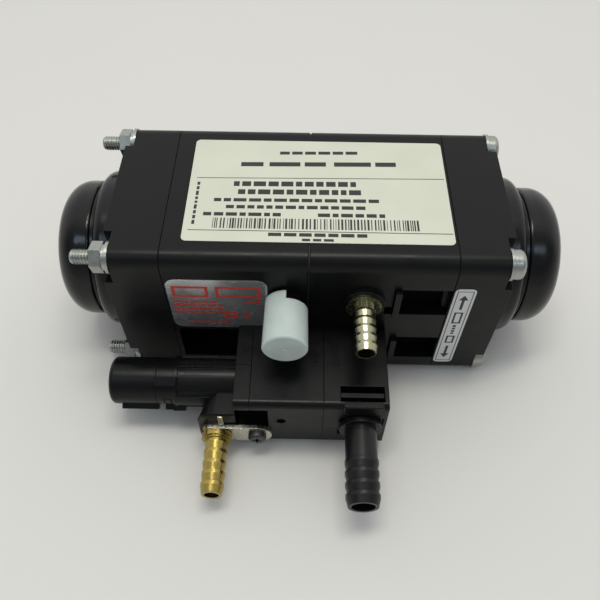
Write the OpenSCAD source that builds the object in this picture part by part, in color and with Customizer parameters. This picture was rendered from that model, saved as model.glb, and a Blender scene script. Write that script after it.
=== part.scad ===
// Gas-driven double-diaphragm beverage pump, in millimetres.
// X runs along the pump, -Y is the front with the ports, +Z is up.
// The origin is the middle of the body's underside.

/* [Body] */
// Length of the square body between the washer pads
body_l = 134; // [130:1:146]
// Side of the square section
body_s = 68; // [66:1:74]
// Radius of the four long edges
edge_r = 5.2; // [4:0.1:6]
// Distance from the middle to each end cap's seam
seam_x = 50; // [49:0.5:52]
// How far the rim of an end cap stands past the washer pads
rim_h = 3; // [2:0.25:4]
// Side of the square notch that each washer pad leaves in the rim
pad_w = 12.5; // [12:0.1:14]
// Depth of the groove that shows at a seam
seam_groove = 0.15; // [0.1:0.05:0.4]
// Thickness of the gasket between the two middle housings
gasket_t = 0.4; // [0.3:0.1:1]
// How far the gasket lies inside the outline
gasket_inset = 0.4; // [0.3:0.1:1]
// Width of the lengthwise rib pocket in the back face
back_pocket_w = 17; // [12:1:20]
// Depth of the rib pockets in the back face
back_pocket_d = 2.4; // [1:0.2:3]

/* [Tie bolts] */
// Distance of each tie bolt's axis from the two nearest faces
bolt_inset = 5.2; // [5:0.1:6]
// Radius of the tie bolt's thread
bolt_r = 2.4; // [2.2:0.1:2.5]
// Radius of the tie bolt's shank, where the threads of bolt and nut meet too
shank_r = 2.1; // [1.9:0.05:2.15]
// Gap round each tie bolt in its hole
bolt_gap = 0.25; // [0.15:0.05:0.35]
// Width across the flats of the nut
hex_af = 9.5; // [9:0.1:10]
// Radius of the bolt's round head
head_r = 5.2; // [4.8:0.1:5.4]
// Height of the bolt head
head_h = 4.2; // [3.6:0.1:4.6]
// Width across the flats of the head's hexagon socket
key_af = 4; // [3:0.1:4.6]
// Height of the nut
nut_h = 3.9; // [3:0.1:4.5]
// Length of thread past the nut
thread_out = 7.4; // [3:0.2:9]
// Radius of the flat washer
washer_r = 5.7; // [5.5:0.1:6]
// Thickness of the flat washer
washer_t = 1.1; // [0.8:0.1:1.5]
// Radius of the lock washer
lock_r = 4.7; // [4.3:0.1:5.4]
// Thickness of the lock washer
lock_t = 1.3; // [1:0.1:1.8]

/* [Domes] */
// Radius of the dome's inner ring
ring_r = 30.2; // [29.4:0.1:30.4]
// Distance from the middle to the ring's shoulder
ring_x = 78; // [76:0.2:79]
// Rounding of the ring's shoulder
ring_round = 3.8; // [2:0.1:4]
// Radius of the outer drum
drum_r = 26.3; // [26:0.1:26.7]
// Distance from the middle to the end of the drum
drum_x = 93.2; // [91:0.2:98]
// Rounding of the drum's end
drum_round = 9; // [7:0.5:11]
// Width of the groove between ring and drum
groove_w = 1.5; // [1:0.1:2.4]
// Radius at the bottom of the groove
groove_r = 25.5; // [25.1:0.1:25.7]
// Wall of the dome
dome_wall = 2.4; // [2:0.1:2.6]
// Radius of the dome's clamped flange
flange_r = 31.6; // [31.2:0.1:31.7]
// Thickness of the dome's clamped flange
flange_t = 3; // [2:0.1:4]

/* [Diaphragms and shaft] */
// Half of the shaft's stroke
stroke = 8; // [6:0.5:8]
// Radius of the shaft
shaft_r = 4; // [3.5:0.1:4.5]
// Radius of the threaded end of the shaft
stud_r = 2.5; // [2.2:0.1:2.8]
// Radius of the diaphragm
diaphragm_r = 30.8; // [30.2:0.1:30.8]
// Thickness of the diaphragm
diaphragm_t = 1.6; // [1.4:0.1:2]
// Depth of the bead at the diaphragm's edge
bead_d = 1.4; // [1:0.1:2]
// Width of the bead at the diaphragm's edge
bead_w = 2.5; // [2:0.1:2.8]
// Radius of the diaphragm's roll, at the middle of its sheet
roll_r = 3.4; // [3:0.1:3.6]
// Radius of the piston plates
piston_r = 16.8; // [16:0.1:17.2]
// Thickness of the piston plate on the product side
inner_piston_t = 6; // [5:0.25:6.5]
// Thickness of the piston plate on the gas side
outer_piston_t = 6.4; // [5:0.2:8]
// Radius of the product chamber
chamber_r = 26.4; // [26.2:0.1:27]
// Gap between the piston plate and the chamber's floor at the end of the stroke
chamber_gap = 1; // [0.6:0.1:2]
// Radius of the seal round the shaft
shaft_seal_r = 6.6; // [6:0.1:7]
// Length of the seal round the shaft
shaft_seal_l = 3.2; // [2.5:0.1:4]
// Height of a shaft nut
shaft_nut_h = 4; // [3:0.2:5]
// Width across the flats of a shaft nut
shaft_nut_af = 8; // [7:0.1:9]

/* [Product galleries and check valves] */
// Height of the outlet port's axis
out_z = 46.9; // [46.4:0.1:47.4]
// Height of the inlet port's axis
in_z = 17.3; // [16.8:0.1:17.8]
// Distance from the front face to the galleries
gallery_d = 20.5; // [20:0.5:21.5]
// Radius of the galleries
gallery_r = 3.2; // [2.6:0.1:3.4]
// Radius of a check valve's seat
valve_r = 4.6; // [4.4:0.1:4.7]
// Thickness of a check valve's seat
valve_t = 3; // [2.5:0.1:3.5]
// Thickness of a check valve's flap
flap_t = 0.9; // [0.7:0.1:1.2]
// Radius of each hole in a check valve's seat
valve_hole_r = 0.8; // [0.6:0.05:0.9]

/* [Product out fitting] */
// Distance of both product ports from the middle
port_x = 19.6; // [19.2:0.1:20]
// Radius of the fitting's flange
out_flange_r = 6.3; // [6:0.05:6.4]
// Radius of the spigot inside the body
out_spigot_r = 4.9; // [4.7:0.05:5]
// Length of the spigot inside the body
out_spigot_l = 14; // [13:0.5:15]
// Radius over the barb's ridges
out_barb_r = 3.95; // [3.8:0.05:4.1]
// Radius between the barb's ridges
out_neck_r = 3.45; // [3.4:0.05:3.6]
// Radius of the bore
out_bore_r = 2.9; // [2.6:0.05:3]
// Distance from the front face to the barb's tip
out_tip_d = 21.4; // [20:0.2:24]
// Radius of the raised socket round the port
socket_r = 7.6; // [7.5:0.1:8]
// Height of the raised socket
socket_h = 1.4; // [1:0.1:1.8]
// Number of ridges on the barb
out_ridges = 5; // [4:1:6]

/* [Slide clips] */
// Distance from the middle to the upper slot's left wall
slot_x = 30; // [29.5:0.1:30.5]
// Distance from the middle to the lower slot's left wall
low_slot_x = 31.6; // [31.2:0.1:32]
// Height of both slots
slot_h = 14.5; // [14.2:0.1:15]
// Depth of both slots
slot_d = 7.5; // [7:0.1:8]
// Thickness of a slide clip
clip_t = 2; // [1.6:0.1:2.2]
// Depth of the clip's outer face
clip_d = 3; // [2.6:0.1:3.4]
// Width of the finger tab
tab_w = 2.4; // [2:0.1:2.8]
// How far the finger tab stands out of the face
tab_out = 1.8; // [1:0.1:2.4]
// Gap round a clip in its slot
clip_gap = 0.3; // [0.2:0.05:0.4]
// Radius of the groove that holds the outlet fitting
out_groove_r = 3.6; // [3.5:0.05:3.7]
// Radius of the groove that holds the inlet spigot
in_groove_r = 5.1; // [5:0.05:5.2]

/* [Front valve block] */
// How far the block stands out of the front face
block_d = 33.2; // [32.8:0.1:33.6]
// Height of the block
block_h = 27.2; // [27:0.1:28]
// Distance from the middle to the block's left face
block_left = 25.5; // [25:0.1:26]
// Distance from the middle to the left seam
seam_left = 19.9; // [19.7:0.1:20.1]
// Distance from the middle to the right seam
seam_right = 6.1; // [5.8:0.1:6.4]
// Distance from the middle to the block's right face
block_right = 28.8; // [28.6:0.1:29.1]
// Rounding of the block's top front edge
block_round = 2.3; // [1.5:0.1:2.8]
// Distance from the block's front to its middle plane
spool_in = 16.4; // [16.2:0.1:16.6]
// Depth of the pocket in the block's front
pocket_depth = 5; // [3:0.5:5.5]
// Width of the pocket in the block's front
pocket_w = 12; // [11:0.5:12.5]
// Height of the pocket's upper edge below the block's top
pocket_drop = 3.8; // [3:0.1:4.5]
// Height of the pocket
pocket_h = 12.6; // [11:0.1:12.8]
// Radius of the vent hole in the block's front
vent_r = 1.7; // [1.4:0.1:2]

/* [Spool] */
// Radius of the spool's lands
spool_r = 3.8; // [3.6:0.05:3.9]
// Radius of the spool's necks
spool_neck_r = 2.6; // [2.2:0.1:2.9]
// Gap between the spool and the end of its bore at the end of its travel
spool_end = 0.6; // [0.4:0.05:1]
// Half of the spool's travel
spool_travel = 2.4; // [2:0.1:2.6]
// Radius of the sleeve
sleeve_r = 4.9; // [4.7:0.05:4.9]

/* [Inlet manifold and fitting] */
// Radius of the manifold's spigot in the body
in_spigot_r = 6.2; // [6.1:0.05:6.3]
// Radius of the inlet bore
in_bore_r = 4.1; // [3.8:0.05:4.2]
// Wall of the manifold in front of the clip slot
lift_wall = 2.2; // [2:0.1:2.6]
// Width of the clip slot along the port
lift_slot_w = 6; // [5.6:0.1:6.2]
// Thickness of the lift-out clip
lift_clip_t = 1.8; // [1.6:0.1:2]
// Radius of the inlet fitting's flange
in_flange_r = 7.7; // [7.4:0.05:7.9]
// Thickness of the inlet fitting's flange
in_flange_t = 2; // [1.6:0.1:2.4]
// Radius of the plain neck
in_neck_r = 5.7; // [5.6:0.05:5.8]
// Radius over the barb's ridges
in_barb_r = 6; // [5.9:0.05:6.3]
// Radius between the barb's ridges
in_root_r = 5.25; // [5.2:0.05:5.4]
// Distance from the block's front to the first ridge
in_ridge_out = 13.8; // [12:0.2:15]
// Distance from the block's front to the barb's tip
in_tip_out = 29.8; // [27:0.2:33]
// Number of ridges on the barb
in_ridges = 4; // [3:1:5]

/* [Gas inlet] */
// Distance from the middle to the gas barb's axis
gas_x = 32.4; // [32.2:0.1:32.6]
// Drop of the gas barb's axis below the inlet port's axis
gas_drop = 6.9; // [6.8:0.05:7.1]
// Radius of the hood round the gas barb
hood_r = 6.6; // [6.4:0.05:6.8]
// Length of the hood, back from the block's front
hood_l = 13.7; // [12.8:0.1:14.2]
// Radius of the gas barb's collar
gas_collar_r = 5.55; // [5.45:0.05:5.6]
// Radius of the gas barb's spigot
gas_spigot_r = 4; // [3.9:0.05:4.1]
// Radius over the barb's ridges
gas_barb_r = 4.2; // [4.1:0.05:4.4]
// Radius between the barb's ridges
gas_root_r = 3.6; // [3.5:0.05:3.7]
// Radius of the bore
gas_bore_r = 2.6; // [2.3:0.05:2.8]
// How far the gas barb's collar stands out of the block
gas_collar_out = 4.4; // [3.8:0.1:5.2]
// How far the gas barb's tip stands out of the block
gas_tip_out = 24.4; // [21:0.2:27]
// Number of ridges on the barb
gas_ridges = 5; // [4:1:6]
// Thickness of the retainer plate
plate_t = 1.5; // [1.3:0.1:1.6]
// Radius of the retainer plate's round end
plate_r = 5.3; // [5:0.05:5.35]
// Distance from the middle to the retainer screw
screw_x = 17.7; // [17.6:0.1:17.8]
// Radius of the retainer screw's thread
screw_r = 1.75; // [1.6:0.05:1.8]
// Gap round the retainer screw in the block and the plate
screw_gap = 0.1; // [0.06:0.01:0.15]
// Radius of the retainer screw's head
screw_head_r = 3.3; // [3:0.1:3.5]
// Height of the retainer screw's head
screw_head_h = 2.3; // [1.8:0.1:2.6]
// How far the retainer screw reaches into the body
screw_in = 10; // [8:0.5:12]

/* [Sold-out shut-off] */
// Outer radius of the shut-off's cylinder
tube_r = 8.75; // [8.6:0.05:8.8]
// Wall of the cylinder
tube_wall = 1.6; // [1.5:0.05:1.7]
// Distance from the middle to the ribbed tube's left end
tube_x = 47; // [46.5:0.5:48]
// Distance from the middle to the collar's left end
collar_x = 54.8; // [54:0.2:56]
// Distance from the middle to the end of the cap
cap_x = 72.2; // [71:0.2:74]
// Rounding of the cap's end
cap_round = 1.8; // [1.2:0.1:2.6]
// Number of ribs round the tube
tube_ribs = 7; // [6:1:8]
// Height of a rib
tube_rib_h = 0.7; // [0.5:0.1:0.9]
// Turn of the cap from locked to free
cap_turn = 26; // [20:1:28]
// Travel of the shut-off's piston
shut_travel = 5; // [4:0.5:6]
// Radius of the spring's wire
wire_r = 0.5; // [0.4:0.05:0.55]
// Mean radius of the spring
spring_r = 4.6; // [4.2:0.1:4.9]
// Number of the spring's turns
spring_turns = 9; // [6:1:12]

/* [Gas outlet] */
// Distance of the gas outlet from the middle
vent_x = 7.6; // [7.5:0.1:7.8]
// Radius of the protective cap at its closed end
shroud_r = 7.85; // [7.7:0.05:8.1]
// Radius of the protective cap at its rim
shroud_rim_r = 7.55; // [7.5:0.05:7.7]
// Wall of the protective cap
shroud_wall = 1.1; // [0.9:0.05:1.2]
// Distance from the front face to the protective cap's end
shroud_d = 20.4; // [19.6:0.2:22]
// Distance from the front face to the protective cap's rim
shroud_gap = 1; // [0.8:0.1:1.4]
// How much shorter one half of the rim is
shroud_step = 3.4; // [2:0.1:4]
// Radius of the outlet nipple's ridges
nipple_r = 5.6; // [5.4:0.05:5.7]
// Radius of the outlet nipple's bore
nipple_bore_r = 3.4; // [3:0.1:3.8]
// Distance from the front face to the nipple's tip
nipple_d = 17; // [15:0.5:17.5]
// Number of ridges on the outlet nipple
nipple_ridges = 3; // [2:1:5]

/* [Labels] */
// Thickness of a label
label_t = 0.2; // [0.12:0.02:0.3]
// Length of the top label
top_label_l = 92.4; // [88:0.2:94]
// Width of the top label
top_label_w = 50.8; // [48:0.2:54]
// Distance of the top label's middle from the pump's middle
top_label_x = 2.9; // [0:0.1:3.4]
// Length of the front label
gas_label_l = 35.2; // [33:0.2:41]
// Height of the front label
gas_label_h = 28.6; // [26:0.2:30]
// Height of the front label's lower edge
gas_label_z = 29.4; // [28.6:0.1:30]
// Width of the port label
port_label_w = 7.4; // [7:0.1:8]
// Height of the port label
port_label_h = 48.2; // [46:0.2:50]
// Corner radius of the labels
label_round = 1.8; // [1:0.1:2.4]

/* [Hidden] */
$fn = 64;
// Overrun of a cut past a face
over = 1;
// Radial gap between round pieces that fit and don't move
fit_gap = 0.03;
// Radial gap between round pieces that slide or turn
run_gap = 0.05;
// Gap between flat faces that slide past each other
face_gap = 0.15;
front_y = -body_s / 2;
axis_z = body_s / 2;
pad_x = body_l / 2;
rim_x = pad_x + rim_h;
bolt_at = body_s / 2 - bolt_inset;
BOLT_SIGNS = [[-1, -1], [1, -1], [-1, 1], [1, 1]];
SIDES = [-1, 1];
black = [0.05, 0.05, 0.055];
satin = [0.075, 0.075, 0.08];
zinc = [0.78, 0.79, 0.8];
bright = [0.82, 0.81, 0.78];
rubber = [0.03, 0.03, 0.03];
acetal = [0.86, 0.86, 0.82];
milky = [0.93, 0.95, 0.96];
pale = [0.9, 0.91, 0.89];
// Chamber and gallery places that follow from the sizes above
chamber_d = inner_piston_t + stroke + chamber_gap;
chamber_x = seam_x - chamber_d;
gallery_y = front_y + gallery_d;
dish_x = seam_x - diaphragm_t - bead_d;
roll_at = (piston_r + chamber_r) / 2;
gas_z = in_z - gas_drop;
block_z = in_z - block_h / 2;
block_top = block_z + block_h;
// Places in the block, counted from the front face
spool_d = block_d - spool_in;
lift_slot_d = block_d - lift_wall - lift_slot_w;
in_ridge_d = block_d + in_ridge_out;
in_tip_d = block_d + in_tip_out;
hood_d = block_d - hood_l;
gas_collar_d = block_d + gas_collar_out;
gas_tip_d = block_d + gas_tip_out;

// Cylinder along X between two places, round the axis at (y, z)
module rod_x(r, x0, x1, y = 0, z = axis_z) {
    translate([x0, y, z]) rotate([0, 90, 0]) cylinder(h = x1 - x0, r = r);
}

// Drawing plane across X: its x is Y, its y is Z, and its height is X
module across(x0, x1, y = 0, z = 0) {
    translate([x0, y, z]) rotate([90, 0, 90]) linear_extrude(height = x1 - x0) children();
}

// Solid of revolution along X, from an outline of [radius, distance]
module turned_x(y = 0, z = axis_z) {
    translate([0, y, z]) rotate([0, 90, 0]) rotate_extrude() children();
}

// Frame of the front face: its x is X, its y is Z, and its z points out of the face
module front(x = 0, z = 0) {
    translate([x, front_y, z]) rotate([90, 0, 0]) children();
}

// Block in the frame of the front face
module brick(x0, x1, z0, z1, d0, d1) {
    translate([x0, z0, d0]) cube([x1 - x0, z1 - z0, d1 - d0]);
}

// Rectangle with four round corners
module round_rect(w, h, r) {
    translate([r, 0]) square([w - 2 * r, h]);
    translate([0, r]) square([w, h - 2 * r]);
    for (x = [r, w - r], y = [r, h - r]) translate([x, y]) circle(r);
}

// Half section of a round bar whose far end is rounded, as [radius, distance]
module bar_section(r, a, b, rounding) {
    translate([0, a]) square([r, b - a - rounding]);
    translate([0, a]) square([r - rounding, b - a]);
    translate([r - rounding, b - rounding]) intersection() {
        circle(rounding);
        square(rounding);
    }
}

// Flat ring along an axis, as a half section
module ring_section(r_in, r_out, a, b) {
    translate([r_in, a]) square([r_out - r_in, b - a]);
}

module body_outline(inset = 0) {
    side = body_s - 2 * inset;
    translate([-side / 2, inset]) round_rect(side, side, edge_r - inset);
}

module bolt_holes(x0, x1) {
    for (s = BOLT_SIGNS) rod_x(bolt_r + bolt_gap, x0, x1, s[0] * bolt_at, axis_z + s[1] * bolt_at);
}

// Mirrors its children to the left side when side is -1
module on_side(side) {
    if (side < 0) mirror([1, 0, 0]) children();
    else children();
}

// Everything that both middle housings share, drawn for the right side
module housing_half() {
    difference() {
        union() {
            across(gasket_t / 2 + seam_groove, seam_x - seam_groove) body_outline();
            across(gasket_t / 2, seam_x) body_outline(gasket_inset);
        }
        bolt_holes(-over, seam_x + over);
        rod_x(shaft_r + run_gap, -over, seam_x);
        // Product chamber with a dished floor
        turned_x() polygon([[0, chamber_x], [piston_r, chamber_x],
            [chamber_r, dish_x], [chamber_r, seam_x + over], [0, seam_x + over]]);
        // Groove for the diaphragm's bead
        turned_x() ring_section(diaphragm_r - bead_w, diaphragm_r, seam_x - bead_d, seam_x + over);
        // Pocket for the shaft's seal, open to the chamber
        turned_x() ring_section(0, shaft_seal_r, chamber_x - shaft_seal_l, chamber_x + over);
        // Product galleries and the pockets of the check valves
        for (z = [in_z, out_z]) {
            rod_x(gallery_r, -over, chamber_x, gallery_y, z);
            rod_x(valve_r, chamber_x - valve_t - flap_t - clip_gap, dish_x, gallery_y, z);
        }
        // Rib pockets in the back face
        for (k = [0, 1]) {
            translate([back_rib + k * (back_pocket_w + back_rib), -front_y - back_pocket_d, pad_w])
                cube([back_pocket_w, back_pocket_d + over, body_s - 2 * pad_w]);
        }
        // Pockets that lighten the underside
        for (k = [0, 1]) {
            translate([back_rib + k * (back_pocket_w + back_rib), front_y + pad_w, -over])
                cube([back_pocket_w, body_s - 2 * pad_w, back_pocket_d + over]);
        }
    }
}
back_rib = (seam_x - 2 * back_pocket_w) / 3;

// Bore and counterbore of a port in the front face, out to the gallery
module port_cut(z, r, flange, length) {
    front(port_x, z) {
        translate([0, 0, -length]) cylinder(h = length + over, r = r + run_gap);
        translate([0, 0, -clip_d]) cylinder(h = clip_d + socket_h + over, r = flange + run_gap);
        translate([0, 0, -gallery_d]) cylinder(h = gallery_d, r = gallery_r);
    }
}

// Slot in the front face and the slit behind it in which a clip slides
module slot_cut(x, z) {
    front() {
        brick(x, seam_x + over, z - slot_h / 2, z + slot_h / 2, -slot_d, over);
        brick(port_x - clip_reach - clip_gap, x + over, z - clip_half_h - clip_gap,
            z + clip_half_h + clip_gap, -clip_d - clip_t - face_gap, -clip_d + face_gap);
    }
}
clip_reach = out_flange_r + clip_t / 2;
clip_half_h = slot_h / 2 - clip_gap;
slit_drop = 2.9;

module mid_housing_right() {
    color(black) difference() {
        union() {
            on_side(1) housing_half();
            front(port_x, out_z) cylinder(h = socket_h, r = socket_r);
        }
        port_cut(out_z, out_spigot_r, out_flange_r, out_spigot_l);
        port_cut(in_z, in_spigot_r, in_spigot_r, out_spigot_l);
        slot_cut(slot_x, out_z);
        // The upper slit shows in the face beside the socket
        front() brick(port_x + socket_r, slot_x + over, out_z - clip_half_h - clip_gap, out_z - slit_drop,
            -clip_d - clip_t - face_gap, over);
        slot_cut(low_slot_x, in_z);
    }
}

module mid_housing_left() {
    color(black) difference() {
        on_side(-1) housing_half();
        // Open recess under the front label
        front() brick(-seam_x + recess_rim, -block_left, recess_z, gas_label_z - recess_rim,
            -recess_d, over);
        // Gas outlet
        front(-vent_x, out_z) {
            translate([0, 0, -nipple_seat_l])
                cylinder(h = nipple_seat_l + over, r = nipple_seat_r + fit_gap);
            translate([0, 0, -gallery_d / 2]) cylinder(h = gallery_d / 2, r = nipple_bore_r);
        }
        // Hole for the retainer screw
        front(-screw_x, gas_z) translate([0, 0, -screw_in - over]) cylinder(h = screw_in + 2 * over,
            r = screw_r + fit_gap);
    }
}
recess_rim = 1.6;
recess_z = 8.5;
recess_d = 9;
nipple_seat_l = 6;
nipple_seat_r = 6.2;

module centre_gasket() {
    color(rubber) difference() {
        across(-gasket_t / 2, gasket_t / 2) {
            body_outline(gasket_inset);
            translate([-bolt_at, 0]) square([2 * bolt_at, gasket_inset]);
        }
        bolt_holes(-over, over);
        rod_x(shaft_r + run_gap, -over, over);
        for (z = [in_z, out_z]) rod_x(gallery_r, -over, over, gallery_y, z);
    }
}

module end_cap() {
    difference() {
        union() {
            across(seam_x + seam_groove, pad_x) body_outline();
            across(seam_x, pad_x) body_outline(gasket_inset);
            across(pad_x, rim_x) difference() {
                body_outline();
                for (s = BOLT_SIGNS) translate([s[0] * body_s / 2, axis_z + s[1] * body_s / 2])
                    square(2 * pad_w, center = true);
            }
        }
        bolt_holes(seam_x - over, rim_x + over);
        rod_x(ring_r + fit_gap, seam_x - over, rim_x + over);
        rod_x(flange_r + fit_gap, seam_x - over, seam_x + diaphragm_t + flange_t);
    }
}
module end_cap_left() { color(satin) on_side(-1) end_cap(); }
module end_cap_right() { color(satin) on_side(1) end_cap(); }

// Dome that closes the gas chamber, with its flange clamped by the end cap
module dome() {
    in_x = seam_x + diaphragm_t;
    turned_x() difference() {
        union() {
            translate([0, in_x]) square([flange_r, flange_t]);
            bar_section(ring_r, in_x, ring_x, ring_round);
            translate([0, ring_x - over]) square([groove_r, groove_w + 2 * over]);
            translate([0, ring_x + groove_w]) square([drum_r - lip_r, lip_r]);
            translate([drum_r - lip_r, ring_x + groove_w + lip_r]) circle(lip_r);
            bar_section(drum_r, ring_x + groove_w + lip_r, drum_x, drum_round);
        }
        bar_section(ring_r - dome_wall, in_x - over, ring_x - dome_wall, ring_round);
        bar_section(groove_r - dome_wall, in_x, drum_x - dome_wall, drum_round - dome_wall);
    }
}
lip_r = 1.2;
module dome_left() { color(black) on_side(-1) dome(); }
module dome_right() { color(black) on_side(1) dome(); }

// Rolling diaphragm: flat middle, one roll and a bead at its edge
module diaphragm() {
    roll_out = roll_r + diaphragm_t / 2;
    roll_in = roll_r - diaphragm_t / 2;
    turned_x() difference() {
        union() {
            ring_section(stud_r + fit_gap, roll_at - roll_r, seam_x, seam_x + diaphragm_t);
            ring_section(roll_at + roll_r, diaphragm_r - fit_gap, seam_x, seam_x + diaphragm_t);
            ring_section(diaphragm_r - bead_w + fit_gap, diaphragm_r - fit_gap,
                seam_x - bead_d, seam_x + diaphragm_t);
            translate([roll_at, seam_x]) circle(roll_out);
        }
        translate([roll_at, seam_x]) circle(roll_in);
        translate([roll_at - roll_out - over, seam_x - 2 * roll_out])
            square([2 * roll_out + over, 2 * roll_out]);
    }
}
module diaphragm_left() { color(rubber) on_side(-1) diaphragm(); }
module diaphragm_right() { color(rubber) on_side(1) diaphragm(); }

// Plate on the product side of a diaphragm, with a turned-down edge
module inner_piston() {
    turned_x() difference() {
        translate([0, seam_x]) mirror([0, 1]) bar_section(piston_edge_r, 0, inner_piston_t, plate_round);
        translate([0, seam_x - inner_piston_t - over]) square([shaft_r + fit_gap, shoulder_l + over]);
        translate([0, seam_x - inner_piston_t - over]) square([stud_r + fit_gap, inner_piston_t + 2 * over]);
    }
}
piston_edge_r = roll_at - roll_r - diaphragm_t / 2;
plate_round = 2.4;
shoulder_l = 2.5;
module inner_piston_left() { color(acetal) on_side(-1) inner_piston(); }
module inner_piston_right() { color(acetal) on_side(1) inner_piston(); }

// Plate on the gas side, hollow towards the dome with a hub for the nut
module outer_piston() {
    in_x = seam_x + diaphragm_t;
    turned_x() difference() {
        bar_section(piston_edge_r - diaphragm_t / 2, in_x, in_x + outer_piston_t, plate_round);
        translate([hub_r, in_x + web_t]) square([piston_edge_r - hub_r - 2 * web_t, outer_piston_t]);
        translate([0, in_x - over]) square([stud_r + fit_gap, outer_piston_t + 2 * over]);
    }
}
hub_r = 6.5;
web_t = 2;
module outer_piston_left() { color(acetal) on_side(-1) outer_piston(); }
module outer_piston_right() { color(acetal) on_side(1) outer_piston(); }

stud_out = 1;
stud_end = seam_x + diaphragm_t + outer_piston_t + shaft_nut_h + stud_out;
module pump_shaft() {
    shoulder = seam_x - inner_piston_t + shoulder_l;
    color(zinc) {
        rod_x(shaft_r, -shoulder, shoulder);
        rod_x(stud_r, -stud_end, stud_end);
    }
}

module shaft_nuts() {
    nut_x = seam_x + diaphragm_t + outer_piston_t;
    color(zinc) for (side = SIDES) on_side(side) difference() {
        translate([nut_x, 0, axis_z]) rotate([0, 90, 0])
            cylinder(h = shaft_nut_h, r = shaft_nut_af / 2 / cos(30), $fn = 6);
        rod_x(stud_r + fit_gap, nut_x - over, nut_x + shaft_nut_h + over);
    }
}

// Lip seals round the shaft, at the floor of each product chamber
module shaft_seals() {
    color(rubber) for (side = SIDES) on_side(side)
        turned_x() ring_section(shaft_r + run_gap / 2, shaft_seal_r - fit_gap,
            chamber_x - shaft_seal_l, chamber_x - seal_lip);
}
seal_lip = 0.4;

// Perforated seat of a check valve, with a hole for the flap's stem
module valve_seat(x0, z) {
    difference() {
        rod_x(valve_r - fit_gap, x0, x0 + valve_t, gallery_y, z);
        rod_x(stem_r + fit_gap, x0 - over, x0 + valve_t + over, gallery_y, z);
        for (a = [0:60:300]) rod_x(valve_hole_r, x0 - over, x0 + valve_t + over,
            gallery_y + valve_ring_r * cos(a), z + valve_ring_r * sin(a));
    }
}
stem_r = 0.9;
flap_gap = 0.5;
valve_ring_r = (valve_r + stem_r) / 2;

// Umbrella flap of a check valve: a disc and the stem that holds it in its seat
module valve_flap(x0, z, way) {
    disc_r = valve_r - flap_gap;
    flap_x = way > 0 ? x0 + valve_t : x0 - flap_t;
    rod_x(disc_r, flap_x, flap_x + flap_t, gallery_y, z);
    rod_x(stem_r, x0, x0 + valve_t, gallery_y, z);
}
in_seat_x = chamber_x - valve_t - flap_t - clip_gap;
out_seat_x = chamber_x - valve_t;
module inlet_valve_seats() {
    color(acetal) for (side = SIDES) on_side(side) valve_seat(in_seat_x, in_z);
}
module inlet_valve_flaps() {
    color("orangered") for (side = SIDES) on_side(side) valve_flap(in_seat_x, in_z, 1);
}
module outlet_valve_seats() {
    color(acetal) for (side = SIDES) on_side(side) valve_seat(out_seat_x, out_z);
}
module outlet_valve_flaps() {
    color("orangered") for (side = SIDES) on_side(side) valve_flap(out_seat_x, out_z, -1);
}

// Hexagonal solid along X at a tie bolt
module hex_x(s, x0, x1) {
    translate([x0, s[0] * bolt_at, axis_z + s[1] * bolt_at]) rotate([0, 90, 0]) rotate(hex_turn)
        cylinder(h = x1 - x0, r = hex_af / 2 / cos(30), $fn = 6);
}
hex_turn = 15;
// Chamfered hexagon: the corners are turned off at one end
module bolt_hex(s, x0, x1) {
    intersection() {
        hex_x(s, x0, x1);
        translate([x0, s[0] * bolt_at, axis_z + s[1] * bolt_at]) rotate([0, 90, 0]) rotate_extrude()
            polygon([[0, 0], [hex_af, 0], [hex_af, hex_af / 2], [hex_face_r, x1 - x0], [0, x1 - x0]]);
    }
}
hex_face_share = 0.94;
hex_face_r = hex_af / 2 * hex_face_share;
head_x = pad_x + washer_t;
nut_x = pad_x + washer_t + lock_t;
thread_x = nut_x + nut_h;
bolt_end = thread_x + thread_out;

module tie_bolts() {
    color(zinc) for (s = BOLT_SIGNS) {
        difference() {
            turned_x(s[0] * bolt_at, axis_z + s[1] * bolt_at)
                bar_section(head_r, head_x, head_x + head_h, head_round);
            translate([head_x + head_h - key_d, s[0] * bolt_at, axis_z + s[1] * bolt_at])
                rotate([0, 90, 0]) cylinder(h = key_d + over, r = key_af / 2 / cos(30), $fn = 6);
        }
        rod_x(shank_r, -thread_x - over, head_x + over, s[0] * bolt_at, axis_z + s[1] * bolt_at);
        rod_x(bolt_r, -bolt_end + tip_chamfer, -thread_x, s[0] * bolt_at, axis_z + s[1] * bolt_at);
        translate([-bolt_end, s[0] * bolt_at, axis_z + s[1] * bolt_at]) rotate([0, 90, 0])
            cylinder(h = tip_chamfer, r1 = bolt_r - tip_chamfer, r2 = bolt_r);
    }
}
tip_chamfer = 0.5;
head_round = 1.8;
key_d = 2.4;

module tie_nuts() {
    color(zinc) mirror([1, 0, 0]) for (s = BOLT_SIGNS) difference() {
        bolt_hex(s, nut_x, nut_x + nut_h);
        rod_x(shank_r + fit_gap, nut_x - over, nut_x + nut_h + over, s[0] * bolt_at, axis_z + s[1] * bolt_at);
    }
}

module washer(s, r, x0, t) {
    difference() {
        rod_x(r, x0, x0 + t, s[0] * bolt_at, axis_z + s[1] * bolt_at);
        rod_x(bolt_r + bolt_gap, x0 - over, x0 + t + over, s[0] * bolt_at, axis_z + s[1] * bolt_at);
    }
}
module flat_washers() {
    color(zinc) for (side = SIDES, s = BOLT_SIGNS) on_side(side) washer(s, washer_fit_r, pad_x, washer_t);
}
washer_over = 0.5;
washer_fit_r = min(washer_r, bolt_inset + washer_over);
module lock_washers() {
    color(zinc) on_side(-1) for (s = BOLT_SIGNS) washer(s, lock_r, pad_x + washer_t, lock_t);
}

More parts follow.
